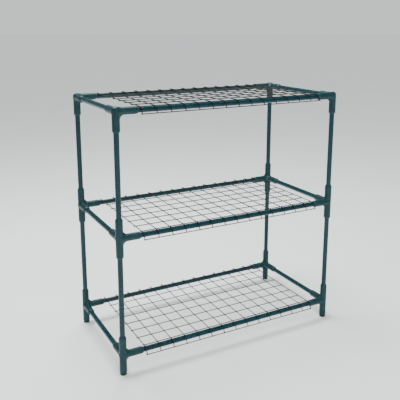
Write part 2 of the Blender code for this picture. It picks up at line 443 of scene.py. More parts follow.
@dataclass(frozen=True)
class DippedWireFinish:
    """Thin plastic dip coating over welded steel wire."""

    deep: Colour = (0.0025, 0.0055, 0.0055)
    light: Colour = (0.0075, 0.0130, 0.0125)
    bare: Colour = (0.060, 0.064, 0.063)
    dust: Colour = (0.040, 0.046, 0.044)
    roughness: float = 0.42
    relief_depth: float = 0.00006

    def build(self) -> bpy.types.Material:
        """Make the material.

        Returns:
            Dipped coating with runs, small lumps, light dust and a few rubbed spots.
        """
        graph = Graph("wire_coating_finish")
        broad = graph.noise(14.0, 3.0)
        runs = graph.noise(210.0, 4.0, 0.6)
        lumps = graph.noise(520.0, 2.0, 0.5)
        rubbed = graph.noise(75.0, 3.0, 0.6).ramp(0.64, 0.72) * graph.facing_up().ramp(0.5, 1.0)
        dusty = graph.facing_up().ramp(0.2, 1.0) * graph.noise(48.0, 5.0, 0.6).ramp(0.40, 0.72)
        colour = graph.mix((broad * 0.5 + runs * 0.5).ramp(0.32, 0.68), self.deep, self.light)
        colour = graph.mix(dusty * 0.20, colour, self.dust)
        colour = graph.mix(rubbed * 0.22, colour, self.bare)
        rough = self.roughness + (runs - 0.5) * 0.22 + dusty * 0.18 + lumps * 0.04
        relief = lumps * 0.7 + runs * 0.6
        return graph.surface(
            {"Base Color": colour, "Roughness": rough, "Normal": graph.bump(relief, self.relief_depth)},
            {
                "Metallic": 0.0,
                "IOR": 1.50,
                "Specular IOR Level": 0.28,
                "Coat Weight": 0.05,
                "Coat Roughness": 0.15,
            },
        )


@dataclass(frozen=True)
class FloorFinish:
    """Matt studio floor."""

    pale: Colour = (0.87, 0.885, 0.885)
    paler: Colour = (0.90, 0.91, 0.91)
    roughness: float = 0.75
    relief_depth: float = 0.00005

    def build(self) -> bpy.types.Material:
        """Make the material.

        Returns:
            Pale floor with very faint mottling.
        """
        graph = Graph("studio_floor_finish")
        mottled = graph.noise(2.2, 4.0, 0.55)
        speckle = graph.noise(160.0, 3.0, 0.6)
        colour = graph.mix((mottled * 0.7 + speckle * 0.3).ramp(0.35, 0.65), self.pale, self.paler)
        normal = graph.bump(speckle, self.relief_depth)
        return graph.surface({"Base Color": colour, "Normal": normal}, {"Roughness": self.roughness})


# ---------------------------------------------------------------- mesh helpers


def finished_object(name: str, mesh: bpy.types.Mesh, material: bpy.types.Material) -> bpy.types.Object:
    """Link a mesh as a smooth-shaded object with one material.

    Args:
        name: the piece's name.
        mesh: its mesh, already in place.
        material: its finish.

    Returns:
        The new object, which sits at the origin.
    """
    mesh.materials.clear()
    mesh.materials.append(material)
    mesh.polygons.foreach_set("use_smooth", [True] * len(mesh.polygons))
    mesh.set_sharp_from_angle(angle=SHARP_ANGLE)
    piece = bpy.data.objects.new(name, mesh)
    bpy.context.scene.collection.objects.link(piece)
    return piece


def attach(piece: bpy.types.Object, body: str, slot: str, *nodes: str) -> bpy.types.Object:
    """Fasten a finished piece to its CAD body in place of its CAD nodes.

    Args:
        piece: the visual piece.
        body: the CAD body it rides on.
        slot: the name of a material slot; not used.
        nodes: the CAD nodes it stands for.

    Returns:
        The piece.
    """
    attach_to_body(piece, body)
    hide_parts(*nodes)
    LOG.info("%s: %d faces on %s", piece.name, len(piece.data.polygons), body)
    return piece


def centre_of(node: str) -> Vector:
    """Find the middle of a CAD node's box."""
    low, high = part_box(node)
    return (low + high) / 2.0


def size_of(node: str) -> Vector:
    """Size of a CAD node's box."""
    low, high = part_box(node)
    return high - low


class Draft:
    """A mesh under construction, with a surface UV map in metres."""

    def __init__(self, *attributes: str) -> None:
        """Start an empty mesh with named point values."""
        self.bm = bmesh.new()
        self.uv = self.bm.loops.layers.uv.new("surface")
        self.values = {name: self.bm.verts.layers.float.new(name) for name in attributes}

    def ring(
        self, centre: Vector, first: Vector, second: Vector, radius: float, sides: int
    ) -> list[bmesh.types.BMVert]:
        """Add one ring of points, turned an eighth so that its corners face diagonally.

        Args:
            centre: middle of the ring.
            first: unit vector at angle 0.
            second: unit vector at angle 90 degrees.
            radius: the ring's radius.
            sides: number of points.

        Returns:
            The new vertices in order.
        """
        made = []
        for step in range(sides):
            angle = RING_START + 2.0 * math.pi * step / sides
            outward = math.cos(angle) * first + math.sin(angle) * second
            made.append(self.bm.verts.new(centre + radius * outward))
        return made

    def bridge(self, lower: Sequence, upper: Sequence, around: float, start: float, end: float) -> None:
        """Join two rings with quads.

        Args:
            lower: first ring.
            upper: second ring, with as many points.
            around: distance round the ring in metres, for the UV map.
            start: distance along the piece at the first ring.
            end: distance along the piece at the second ring.
        """
        sides = len(lower)
        for step in range(sides):
            after = (step + 1) % sides
            face = self.bm.faces.new((lower[step], lower[after], upper[after], upper[step]))
            left, right = around * step / sides, around * (step + 1) / sides
            for loop, value in zip(face.loops, ((left, start), (right, start), (right, end), (left, end))):
                loop[self.uv].uv = value

    def fan(self, ring: Sequence, centre: Vector) -> None:
        """Close a ring with triangles to one middle point.

        Args:
            ring: the ring's vertices in order.
            centre: the middle point.
        """
        pole = self.bm.verts.new(centre)
        for step, vertex in enumerate(ring):
            self.bm.faces.new((vertex, ring[(step + 1) % len(ring)], pole))

    def mesh(self, name: str, place: Matrix | None = None) -> bpy.types.Mesh:
        """Turn the draft into a mesh whose faces point out.

        Args:
            name: the mesh's name.
            place: a matrix to move it by, if any.

        Returns:
            The mesh.
        """
        bmesh.ops.recalc_face_normals(self.bm, faces=self.bm.faces)
        made = bpy.data.meshes.new(name)
        self.bm.to_mesh(made)
        self.bm.free()
        if place is not None:
            made.transform(place)
        return made


def lathe(profile: Sequence[tuple[float, float]], sides: int, draft: Draft, on_axis: bool) -> None:
    """Turn a profile about +Z.

    Args:
        profile: (radius, height) points.
        sides: number of sides.
        draft: the mesh to add to.
        on_axis: True if both ends close on the axis, False if the last ring joins the first.
    """
    first, second = Vector((1.0, 0.0, 0.0)), Vector((0.0, 1.0, 0.0))
    around = 2.0 * math.pi * max(radius for radius, _ in profile)
    rings = [
        draft.ring(Vector((0.0, 0.0, height)), first, second, radius, sides) for radius, height in profile
    ]
    run = 0.0
    pairs = list(zip(range(len(profile)), range(1, len(profile))))
    if not on_axis:
        pairs.append((len(profile) - 1, 0))
    for lower, upper in pairs:
        step = math.dist(profile[lower], profile[upper])
        draft.bridge(rings[lower], rings[upper], around, run, run + step)
        run += step
    if on_axis:
        draft.fan(rings[0], Vector((0.0, 0.0, profile[0][1])))
        draft.fan(rings[-1], Vector((0.0, 0.0, profile[-1][1])))


# ----------------------------------------------------------------------- tubes


@dataclass
class TubeSet:
    """The coated steel tubes: eight uprights and twelve rails."""

    finish: bpy.types.Material
    wall: float = 0.0008
    sides: int = 64
    end_break: float = 0.0002
    end_clear: float = 0.002
    station_gap: float = 0.03
    least_stations: int = 5
    body: str = "frame"
    slot: str = "tube_coating"

    def profile(self, radius: float, length: float) -> list[tuple[float, float]]:
        """Closed section of the tube wall, with broken edges at both ends.

        Args:
            radius: outer radius.
            length: length of the tube.

        Returns:
            (radius, height) points round the wall.
        """
        half, inner, edge = length / 2.0, radius - self.wall, self.end_break
        count = max(self.least_stations, int(length / self.station_gap))
        stations = np.linspace(-half + self.end_clear, half - self.end_clear, count)
        outside = [(radius, float(height)) for height in stations]
        return [
            (radius - edge, -half),
            (radius, -half + edge),
            *outside,
            (radius, half - edge),
            (radius - edge, half),
            (inner + edge, half),
            (inner, half - edge),
            (inner, -half + edge),
            (inner + edge, -half),
        ]

    def tube(self, node: str, run: Run, name: str) -> bpy.types.Object:
        """Build one tube in the place of its CAD node.

        Args:
            node: the CAD node.
            run: the tube's direction.
            name: the piece's name.

        Returns:
            The finished piece.
        """
        size = size_of(node)
        length = size[run.value]
        radius = min(size) / 2.0
        draft = Draft("from_end")
        lathe(self.profile(radius, length), self.sides, draft, on_axis=False)
        for vertex in draft.bm.verts:
            vertex[draft.values["from_end"]] = length / 2.0 - abs(vertex.co.z)
        mesh = draft.mesh(name, Matrix.Translation(centre_of(node)) @ run.matrix())
        return attach(finished_object(name, mesh, self.finish), self.body, self.slot, node)

    def build(self) -> list[bpy.types.Object]:
        """Build every upright and rail.

        Returns:
            The finished pieces.
        """
        made = []
        for level in ("lower", "upper"):
            for corner in Corner:
                node = f"upright_{level}_{corner.label}"
                made.append(self.tube(node, Run.ALONG_Z, f"coated_{node}"))
        for tier in Tier:
            for side in ("front", "rear", "left", "right"):
                run = Run.ALONG_X if side in ("front", "rear") else Run.ALONG_Y
                node = f"rail_{tier.value}_{side}"
                made.append(self.tube(node, run, f"coated_{node}"))
        return made


# ------------------------------------------------------------------ connectors


def soft_least(first: np.ndarray, second: np.ndarray, blend: float) -> np.ndarray:
    """Smallest of two distances, rounded where they meet.

    Args:
        first: distances.
        second: distances.
        blend: width of the rounding in metres.

    Returns:
        The blended distances.
    """
    share = np.maximum(blend - np.abs(first - second), 0.0) / blend
    return np.minimum(first, second) - share * share * blend / 4.0


def soft_most(first: np.ndarray, second: np.ndarray, blend: float) -> np.ndarray:
    """Find the largest of two distances, rounded where they meet."""
    return -soft_least(-first, -second, blend)


@dataclass
class MouldedConnector:
    """A corner connector with side sockets along +X and +Y, moulded in one piece."""

    capped: bool
    arm_reach: float
    column_reach: float
    cap_reach: float
    column_radius: float = 0.0112
    arm_radius: float = 0.0109
    bore_radius: float = 0.0083
    stop_reach: float = 0.0140
    mouth_edge: float = 0.0019
    mouth_taper: float = 0.0050
    lip_break: float = 0.0004
    web_reach: float = 0.0305
    web_thickness: float = 0.0050
    fillet: float = 0.0050
    web_fillet: float = 0.0026
    cap_rounding: float = 0.0085
    side_steps: int = 22
    shell_half: float = 0.0132
    blend_reach: float = 0.0300
    rings_in_blend: int = 15
    arm_start_rounding: float = 0.002
    web_rounding: float = 0.0012
    blend_flare: float = 0.0012
    lip_reach: float = 0.008
    settle_rounds: int = 14
    slope_step: float = 1e-5
    least_steepness: float = 0.25
    taper_ease: float = 0.55
    taper_slope: float = 0.45
    taper_shares: tuple[float, ...] = (0.0, 0.12, 0.3, 0.5, 0.7, 0.88, 1.0)

    def outside(self, points: np.ndarray) -> np.ndarray:
        """Distance from the outer surface near the middle of the connector.

        Args:
            points: N by 3 positions.

        Returns:
            N distances, negative inside the plastic.
        """
        x, y, z = points.T
        column = np.hypot(x, y) - self.column_radius
        if self.capped:
            column = soft_most(column, z - self.cap_reach, self.cap_rounding)
        body = column
        for along, across in ((x, y), (y, x)):
            arm = soft_most(np.hypot(across, z) - self.arm_radius, -along, self.arm_start_rounding)
            body = soft_least(body, arm, self.fillet)
        half_web = self.web_thickness / 2.0
        slope = (x + y - self.web_reach) / math.sqrt(2.0)
        level = soft_most(slope, np.abs(z) - half_web, self.web_rounding)
        level = np.maximum(level, -np.minimum(x, y))
        body = soft_least(body, level, self.web_fillet)
        for along, across in ((x, y), (y, x)):
            for upward in (-1.0,) if self.capped else (-1.0, 1.0):
                slope = (along + z * upward - self.web_reach) / math.sqrt(2.0)
                web = soft_most(slope, np.abs(across) - half_web, self.web_rounding)
                web = np.maximum(web, -np.minimum(along, z * upward))
                body = soft_least(body, web, self.web_fillet)
        return body

    def settle(self, vertices: Sequence[bmesh.types.BMVert]) -> None:
        """Move vertices onto the outer surface along its slope.

        Args:
            vertices: the vertices to move.
        """
        points = np.array([vertex.co[:] for vertex in vertices])
        step = self.slope_step
        for _ in range(self.settle_rounds):
            here = self.outside(points)
            slope = np.empty_like(points)
            for axis in range(3):
                shift = np.zeros(3)
                shift[axis] = step
                slope[:, axis] = (self.outside(points + shift) - self.outside(points - shift)) / (2.0 * step)
            steepness = np.maximum((slope * slope).sum(1), self.least_steepness)
            points -= slope * (here / steepness)[:, None]
        for vertex, point in zip(vertices, points):
            vertex.co = point

    def mouth(self, radius: float, reach: float) -> list[tuple[float, float]]:
        """Profile of a socket from the plain arm over the mouth and down the bore.

        Args:
            radius: outer radius of the arm.
            reach: distance from the middle of the connector to the mouth.

        Returns:
            (radius, distance) points.
        """
        lip, edge = self.lip_break, self.mouth_edge
        taper = reach - self.mouth_taper
        points = [(radius, (self.blend_reach + taper) / 2.0), (radius, taper - self.web_rounding)]
        for share in self.taper_shares:
            drop = share * share * (3.0 - 2.0 * share) * self.taper_ease + share * self.taper_slope
            points.append((radius - edge * drop, taper + (self.mouth_taper - 2.0 * lip) * share))
        tip = radius - edge
        inner_lip = min(lip, (tip - self.bore_radius) / 2.0)
        points += [(tip - lip * 0.3, reach - lip * 0.5), (tip - inner_lip, reach)]
        points += [(self.bore_radius + inner_lip * 0.5, reach), (self.bore_radius, reach - lip)]
        points += [(self.bore_radius, self.stop_reach)]
        return points

    def mesh(self) -> bpy.types.Mesh:
        """Build the whole connector round the origin.

        Returns:
            One closed mesh with the values "parting" and "lip".
        """
        draft = Draft("parting", "lip")
        lip_value = draft.values["lip"]
        half, side = self.shell_half, self.side_steps
        shared: dict[tuple[int, ...], bmesh.types.BMVert] = {}

        def shell_vertex(point: Vector) -> bmesh.types.BMVert:
            """Find or make the vertex of the middle block at a place.

            Args:
                point: the place.

            Returns:
                The one vertex there.
            """
            key = tuple(round(value * KEYS_PER_METRE) for value in point)
            if key not in shared:
                shared[key] = draft.bm.verts.new(point)
            return shared[key]

        grid = [half * math.tan(RING_START + QUARTER * step / side) for step in range(side + 1)]
        sockets = dict.fromkeys(((1, 0, 0), (0, 1, 0)), (self.arm_radius, self.arm_reach))
        sockets[(0, 0, -1)] = (self.column_radius, self.column_reach)
        if not self.capped:
            sockets[(0, 0, 1)] = (self.column_radius, self.column_reach)
        moving: list[bmesh.types.BMVert] = []
        for direction in ((1, 0, 0), (-1, 0, 0), (0, 1, 0), (0, -1, 0), (0, 0, 1), (0, 0, -1)):
            ahead = Vector(direction)
            first = Vector((ahead.y, ahead.z, ahead.x))
            second = ahead.cross(first)
            if direction not in sockets:
                rows = [[shell_vertex(ahead * half + first * a + second * b) for a in grid] for b in grid]
                for low, high in zip(rows, rows[1:]):
                    for step in range(side):
                        draft.bm.faces.new((low[step], low[step + 1], high[step + 1], high[step]))
                continue
            radius, reach = sockets[direction]
            count = side * 4
            ring = []
            for step in range(count):
                angle = RING_START + 2.0 * math.pi * step / count
                across = math.cos(angle) * first + math.sin(angle) * second
                widest = max(abs(math.cos(angle)), abs(math.sin(angle)))
                ring.append(shell_vertex(ahead * half + across * (half / widest)))
            around = 2.0 * math.pi * radius
            run = half
            for index in range(1, self.rings_in_blend + 1):
                share = index / self.rings_in_blend
                place = half + (self.blend_reach - half) * share
                flared = radius + self.blend_flare * (1.0 - share)
                after = draft.ring(ahead * place, first, second, flared, count)
                pull = (1.0 - share) ** 3
                for vertex, before in zip(after, ring):
                    vertex.co = vertex.co.lerp(before.co + ahead * (place - run), pull)
                draft.bridge(ring, after, around, run, place)
                moving += after if index < self.rings_in_blend else []
                ring, run = after, place
            for ring_radius, place in self.mouth(radius, reach):
                after = draft.ring(ahead * place, first, second, ring_radius, count)
                for vertex in after:
                    vertex[lip_value] = max(0.0, 1.0 - (reach - place) / self.lip_reach)
                draft.bridge(ring, after, around, run, place)
                ring, run = after, place
            draft.fan(ring, ahead * self.stop_reach)
        self.settle(list(shared.values()) + moving)
        for vertex in draft.bm.verts:
            vertex[draft.values["parting"]] = vertex.co.y
        return draft.mesh("connector")


@dataclass
class ConnectorSet:
    """The twelve corner connectors."""

    finish: bpy.types.Material
    body: str = "frame"
    slot: str = "connector_plastic"

    def build(self) -> list[bpy.types.Object]:
        """Build the two mouldings and place them at the corners.

        Returns:
            The finished pieces.
        """
        low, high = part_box("connector_middle_front_left")
        column_reach = (high.z - low.z) / 2.0
        column_x = centre_of("upright_lower_front_left").x
        _, top_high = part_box("connector_top_front_left")
        cap_reach = top_high.z - centre_of("rail_top_front").z
        arm_reach = high.x - column_x
        masters = {
            capped: MouldedConnector(capped, arm_reach, column_reach, cap_reach).mesh()
            for capped in (False, True)
        }
        made = []
        for tier in Tier:
            height = centre_of(f"rail_{tier.value}_front").z
            for corner in Corner:
                node = f"connector_{tier.value}_{corner.label}"
                post = centre_of(f"upright_lower_{corner.label}")
                mesh = masters[tier is Tier.TOP].copy()
                place = Matrix.Translation((post.x, post.y, height))
                mesh.transform(place @ Matrix.Rotation(QUARTER * corner.turns, 4, "Z"))
                name = f"moulded_{node}"
                made.append(attach(finished_object(name, mesh, self.finish), self.body, self.slot, node))
        return made


# ------------------------------------------------------------------------ feet


@dataclass
class FootSet:
    """The closed plugs that fill the lowest sockets and stand on the floor."""

    finish: bpy.types.Material
    rim_radius: float = 0.0105
    stem_radius: float = 0.0080
    sole_radius: float = 0.0080
    rim_height: float = 0.0037
    rim_break: float = 0.0003
    sole_share: float = 0.5
    sole_edge: tuple[tuple[float, float], ...] = ((-0.0004, 0.0), (0.0006, 0.00015))
    rim_edge: tuple[tuple[float, float], ...] = ((-0.0009, 0.0007), (-0.0003, 0.0014), (0.0, 0.0023))
    stem_taper: float = 0.0008
    stem_taper_length: float = 0.0010
    stem_end_share: float = 0.4
    sides: int = 72
    body: str = "frame"
    slot: str = "foot_plastic"

    def build(self) -> list[bpy.types.Object]:
        """Build the four feet.

        Returns:
            The finished pieces.
        """
        made = []
        for corner in Corner:
            node = f"foot_plug_{corner.label}"
            low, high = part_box(node)
            middle = (low + high) / 2.0
            height = high.z - low.z
            profile = [
                (self.sole_radius * self.sole_share, 0.0),
                *((self.sole_radius + out, rise) for out, rise in self.sole_edge),
                *((self.rim_radius + out, rise) for out, rise in self.rim_edge),
                (self.rim_radius, self.rim_height - self.rim_break),
                (self.rim_radius - self.rim_break, self.rim_height),
                (self.stem_radius, self.rim_height),
                (self.stem_radius, height - self.stem_taper_length),
                (self.stem_radius - self.stem_taper, height),
                (self.stem_radius * self.stem_end_share, height),
            ]
            draft = Draft("parting", "lip")
            lathe(profile, self.sides, draft, on_axis=True)
            for vertex in draft.bm.verts:
                vertex[draft.values["parting"]] = vertex.co.y
            name = f"moulded_{node}"
            mesh = draft.mesh(name, Matrix.Translation((middle.x, middle.y, low.z)))
            made.append(attach(finished_object(name, mesh, self.finish), self.body, self.slot, node))
        return made


# --------------------------------------------------------------------- shelves


class NodeTools:
    """Short calls for building a Geometry Nodes tree."""

    def __init__(self, name: str, sizes: Mapping[str, tuple[str, Any]]) -> None:
        """Make a tree with a geometry input, named inputs and a geometry output.

        Args:
            name: the tree's name.
            sizes: socket type and starting value of each named input.
        """
        self.tree = bpy.data.node_groups.new(name, "GeometryNodeTree")
        face = self.tree.interface
        face.new_socket("Geometry", in_out="INPUT", socket_type="NodeSocketGeometry")
        self.identifiers: dict[str, str] = {}
        for label, (kind, value) in sizes.items():
            made = face.new_socket(label, in_out="INPUT", socket_type=kind)
            if value is not None:
                made.default_value = value
            self.identifiers[label] = made.identifier
        face.new_socket("Geometry", in_out="OUTPUT", socket_type="NodeSocketGeometry")
        self.entry = self.tree.nodes.new("NodeGroupInput")
        self.exit = self.tree.nodes.new("NodeGroupOutput")

    def add(self, kind: str, settings: Mapping[str, Any], inputs: Mapping[Any, Any]) -> bpy.types.Node:
        """Add a node with its settings, values and links.

        Args:
            kind: the node's type name.
            settings: its own properties, set first.
            inputs: sockets or values by input name or index.

        Returns:
            The new node.
        """
        made = self.tree.nodes.new(kind)
        for key, value in settings.items():
            setattr(made, key, value)
        for key, value in inputs.items():
            if isinstance(value, bpy.types.NodeSocket):
                self.tree.links.new(value, made.inputs[key])
            else:
                made.inputs[key].default_value = value
        return made

    def close(self, geometry: bpy.types.NodeSocket) -> None:
        """Realize instances, set the material and end the tree.

        Args:
            geometry: what the tree has made.
        """
        real = self.add("GeometryNodeRealizeInstances", {}, {"Geometry": geometry})
        smooth = self.add("GeometryNodeSetShadeSmooth", {}, {"Geometry": real.outputs[0]})
        dressed = self.add(
            "GeometryNodeSetMaterial",
            {},
            {"Geometry": smooth.outputs[0], "Material": self.entry.outputs["Coating"]},
        )
        self.tree.links.new(dressed.outputs[0], self.exit.inputs[0])

    def run(self, mesh: bpy.types.Mesh, values: Mapping[str, Any]) -> bpy.types.Mesh:
        """Run the tree on a mesh.

        Args:
            mesh: the geometry that enters the tree.
            values: the named inputs.

        Returns:
            The result as a plain mesh.
        """
        holder = bpy.data.objects.new("holder", mesh)
        bpy.context.scene.collection.objects.link(holder)
        modifier = holder.modifiers.new("nodes", "NODES")
        modifier.node_group = self.tree
        for label, value in values.items():
            modifier[self.identifiers[label]] = value
        graph = bpy.context.evaluated_depsgraph_get()
        result = bpy.data.meshes.new_from_object(holder.evaluated_get(graph))
        holder.modifiers.clear()
        bpy.data.objects.remove(holder, do_unlink=True)
        return result


def wire_tree() -> NodeTools:
    """Tree that sweeps paths into wires and repeats them at even steps.

    Returns:
        The tree with inputs for the wire's radius, its sides, the copies and the step.
    """
    tools = NodeTools(
        "wire_runs",
        {
            "Wire Radius": ("NodeSocketFloat", 0.0012),
            "Wire Sides": ("NodeSocketInt", 14),
            "Copies": ("NodeSocketInt", 1),
            "Step": ("NodeSocketVector", None),
            "Coating": ("NodeSocketMaterial", None),
        },
    )
    entry = tools.entry
    path = tools.add("GeometryNodeMeshToCurve", {}, {"Mesh": entry.outputs["Geometry"]})
    girth = tools.add("GeometryNodeInputNamedAttribute", {"data_type": "FLOAT"}, {"Name": "girth"})
    section = tools.add(
        "GeometryNodeCurvePrimitiveCircle",
        {"mode": "RADIUS"},
        {"Resolution": entry.outputs["Wire Sides"], "Radius": entry.outputs["Wire Radius"]},
    )
    wire = tools.add(
        "GeometryNodeCurveToMesh",
        {},
        {
            "Curve": path.outputs[0],
            "Profile Curve": section.outputs[0],
            "Scale": girth.outputs[0],
            "Fill Caps": True,
        },
    )
    places = tools.add(
        "GeometryNodeMeshLine",
        {"mode": "OFFSET"},
        {"Count": entry.outputs["Copies"], "Offset": entry.outputs["Step"]},
    )
    copies = tools.add(
        "GeometryNodeInstanceOnPoints", {}, {"Points": places.outputs[0], "Instance": wire.outputs[0]}
    )
    tools.close(copies.outputs[0])
    return tools


def weld_tree() -> NodeTools:
    """Tree that sets a small rounded weld at each given point.

    Returns:
        The tree with inputs for the weld's size, its spread of sizes and the seed.
    """
    tools = NodeTools(
        "weld_beads",
        {
            "Bead Radius": ("NodeSocketFloat", 0.0015),
            "Smallest": ("NodeSocketFloat", 0.85),
            "Largest": ("NodeSocketFloat", 1.10),
            "Seed": ("NodeSocketInt", 7),
            "Coating": ("NodeSocketMaterial", None),
        },
    )
    entry = tools.entry
    bead = tools.add(
        "GeometryNodeMeshUVSphere", {}, {"Segments": 8, "Rings": 5, "Radius": entry.outputs["Bead Radius"]}
    )
    spread = tools.add(
        "FunctionNodeRandomValue",
        {"data_type": "FLOAT"},
        {2: entry.outputs["Smallest"], 3: entry.outputs["Largest"], "Seed": entry.outputs["Seed"]},
    )
    placed = tools.add(
        "GeometryNodeInstanceOnPoints",
        {},
        {"Points": entry.outputs["Geometry"], "Instance": bead.outputs[0], "Scale": spread.outputs[1]},
    )
    tools.close(placed.outputs[0])
    return tools


def path_mesh(points: Sequence[Vector], girths: Sequence[float]) -> bpy.types.Mesh:
    """Make a chain of edges that carries the wire's girth at each point.

    Args:
        points: the path.
        girths: share of the full radius at each point.

    Returns:
        The mesh.
    """
    made = bpy.data.meshes.new("path")
    made.from_pydata([tuple(point) for point in points], [(i, i + 1) for i in range(len(points) - 1)], [])
    layer = made.attributes.new("girth", "FLOAT", "POINT")
    layer.data.foreach_set("value", list(girths))
    return made


@dataclass
class WireShelf:
    """One welded wire shelf that hooks over the front and rear rails."""

    tier: Tier
    finish: bpy.types.Material
    wires: NodeTools
    welds: NodeTools
    wire_radius: float = 0.0014
    rail_radius: float = 0.0080
    fit_gap: float = 0.0002
    weld_bite: float = 0.00035
    length: float = 0.611
    cross_pitch: float = 0.0443
    cross_count: int = 15
    long_pitch: float = 0.0482
    long_count: int = 8
    hook_bend_out: float = 0.0080
    hook_bend_radius: float = 0.0060
    hook_end_out: float = 0.0200
    hook_end_drop: float = 0.0085
    hook_tail: float = 0.0020
    bend_steps: int = 9
    wire_sides: int = 14
    tip_shape: tuple[tuple[float, float], ...] = (
        (0.0, 0.35),
        (0.00022, 0.72),
        (0.00055, 0.93),
        (0.0011, 1.0),
    )
    flat_share: float = 0.9
    flat_stations: int = 9
    straight_stations: int = 12
    bead_share: float = 1.18
    least_bead: float = 0.88
    largest_bead: float = 1.12
    bead_seed: int = 11

    @property
    def level(self) -> float:
        """Height of the cross wires over the rail's centre line."""
        return self.rail_radius + self.fit_gap + self.wire_radius

    @property
    def drop(self) -> float:
        """Distance between the centre lines of two welded wires."""
        return 2.0 * self.wire_radius - self.weld_bite

    def hook(self) -> tuple[list[Vector], Vector, Vector]:
        """Shape of one hooked end.

        Returns:
            Its (outward, height) points, the point beside the lip wire and the direction there.
        """
        corner = Vector((self.hook_bend_out, self.level))
        end = Vector((self.hook_end_out, -self.hook_end_drop))
        down = (end - corner).normalized()
        turn = math.acos(down.x)
        radius = self.hook_bend_radius
        run = radius * math.tan(turn / 2.0)
        centre = Vector((corner.x - run, corner.y - radius))
        arc = []
        for step in range(self.bend_steps + 1):
            angle = QUARTER - turn * step / self.bend_steps
            arc.append(centre + Vector((math.cos(angle), math.sin(angle))) * radius)
        return arc, end, down

    def tipped(self, points: Sequence[Vector]) -> tuple[list[Vector], list[float]]:
        """Add rounded tips to both ends of a path.

        Args:
            points: the path.

        Returns:
            The longer path and its girths.
        """
        made: list[Vector] = []
        girths: list[float] = []
        inward = (points[1] - points[0]).normalized()
        for back, girth in self.tip_shape:
            made.append(points[0] + inward * back)
            girths.append(girth)
        for point in points[1:-1]:
            made.append(point)
            girths.append(1.0)
        inward = (points[-2] - points[-1]).normalized()
        for back, girth in reversed(self.tip_shape):
            made.append(points[-1] + inward * back)
            girths.append(girth)
        return made, girths

    def cross_path(self, x: float, half: float, height: float) -> list[Vector]:
        """Path of a front-to-back wire.

        Args:
            x: where it lies along the shelf.
            half: distance from the middle of the rack to the rail.
            height: height of the rail's centre line.

        Returns:
            The path from the front tip to the rear tip.
        """
        arc, end, down = self.hook()
        profile = arc + [end + down * self.hook_tail]
        front = [Vector((x, -half - point.x, height + point.y)) for point in reversed(profile)]
        rear = [Vector((x, half + point.x, height + point.y)) for point in profile]
        flat = half * self.flat_share
        stations = np.linspace(-flat, flat, self.flat_stations)
        middle = [Vector((x, y, height + self.level)) for y in stations]
        return front + middle + rear

    def cross_places(self) -> list[float]:
        """Space the front-to-back wires along the shelf, with what is left in the last gap.

        Returns:
            The x of each wire.
        """
        start = -self.length / 2.0
        places = [start + self.cross_pitch * index for index in range(self.cross_count - 1)]
        return places + [self.length / 2.0]

    def long_places(self, half: float) -> list[tuple[float, float]]:
        """Where the lengthwise wires lie, from the front lip to the rear lip.

        Args:
            half: distance from the middle of the rack to the rail.

        Returns:
            (y, height over the rail's centre line) of each wire.
        """
        _, end, down = self.hook()
        lip = end + Vector((down.y, -down.x)) * self.drop
        span = self.long_pitch * (self.long_count - 1)
        level = self.level - self.drop
        rows = [(-span / 2.0 + self.long_pitch * index, level) for index in range(self.long_count)]
        return [(-half - lip.x, lip.y), *rows, (half + lip.x, lip.y)]

    def straight(self, y: float, z: float, low_x: float, high_x: float) -> bpy.types.Mesh:
        """Lay out the path of a lengthwise wire with rounded tips.

        Args:
            y: where it lies across the shelf.
            z: its height.
            low_x: one end.
            high_x: the other end.

        Returns:
            The path as a mesh.
        """
        points = [Vector((x, y, z)) for x in np.linspace(low_x, high_x, self.straight_stations)]
        return path_mesh(*self.tipped(points))

    def build(self) -> bpy.types.Object:
        """Build the shelf in the place of its CAD node.

        Returns:
            The finished piece.
        """
        node = f"shelf_{self.tier.value}"
        low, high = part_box(node)
        half = abs(centre_of("rail_top_front").y)
        height = centre_of(f"rail_{self.tier.value}_front").z
        common = {"Wire Radius": self.wire_radius, "Wire Sides": self.wire_sides, "Coating": self.finish}
        xs = self.cross_places()
        rows = self.long_places(half)
        first, last = (path_mesh(*self.tipped(self.cross_path(x, half, height))) for x in (xs[0], xs[-1]))
        lip, row = (self.straight(y, height + z, low.x, high.x) for y, z in rows[:2])
        runs = (
            (first, self.cross_count - 1, (self.cross_pitch, 0.0, 0.0)),
            (last, 1, (0.0, 0.0, 0.0)),
            (lip, 2, (0.0, rows[-1][0] - rows[0][0], 0.0)),
            (row, self.long_count, (0.0, self.long_pitch, 0.0)),
        )
        parts = [
            self.wires.run(path, {**common, "Copies": copies, "Step": step}) for path, copies, step in runs
        ]
        parts.append(self.weld_beads(xs, rows, half, height))
        mesh = joined(parts, node)
        piece = finished_object(f"welded_{node}", mesh, self.finish)
        return attach(piece, f"{self.tier.value}_shelf", "wire_coating", node)

    def weld_beads(
        self, xs: Sequence[float], rows: Sequence[tuple[float, float]], half: float, height: float
    ) -> bpy.types.Mesh:
        """Put a bead in the crotch of every crossing.

        Args:
            xs: places of the cross wires.
            rows: places of the lengthwise wires.
            half: distance from the middle of the rack to the rail.
            height: height of the rail's centre line.

        Returns:
            The beads as one mesh.
        """
        _, end, down = self.hook()
        outward = Vector((-down.y, down.x)) * (self.drop / 2.0)
        spots = []
        for index, (y, z) in enumerate(rows):
            if index in (0, len(rows) - 1):
                sign = -1.0 if index == 0 else 1.0
                spot = (y + sign * outward.x, height + z + outward.y)
            else:
                spot = (y, height + z + self.drop / 2.0)
            spots += [(x, *spot) for x in xs]
        cloud = bpy.data.meshes.new("weld_spots")
        cloud.from_pydata(spots, [], [])
        values = {
            "Bead Radius": self.wire_radius * self.bead_share,
            "Smallest": self.least_bead,
            "Largest": self.largest_bead,
            "Seed": self.bead_seed,
            "Coating": self.finish,
        }
        return self.welds.run(cloud, values)


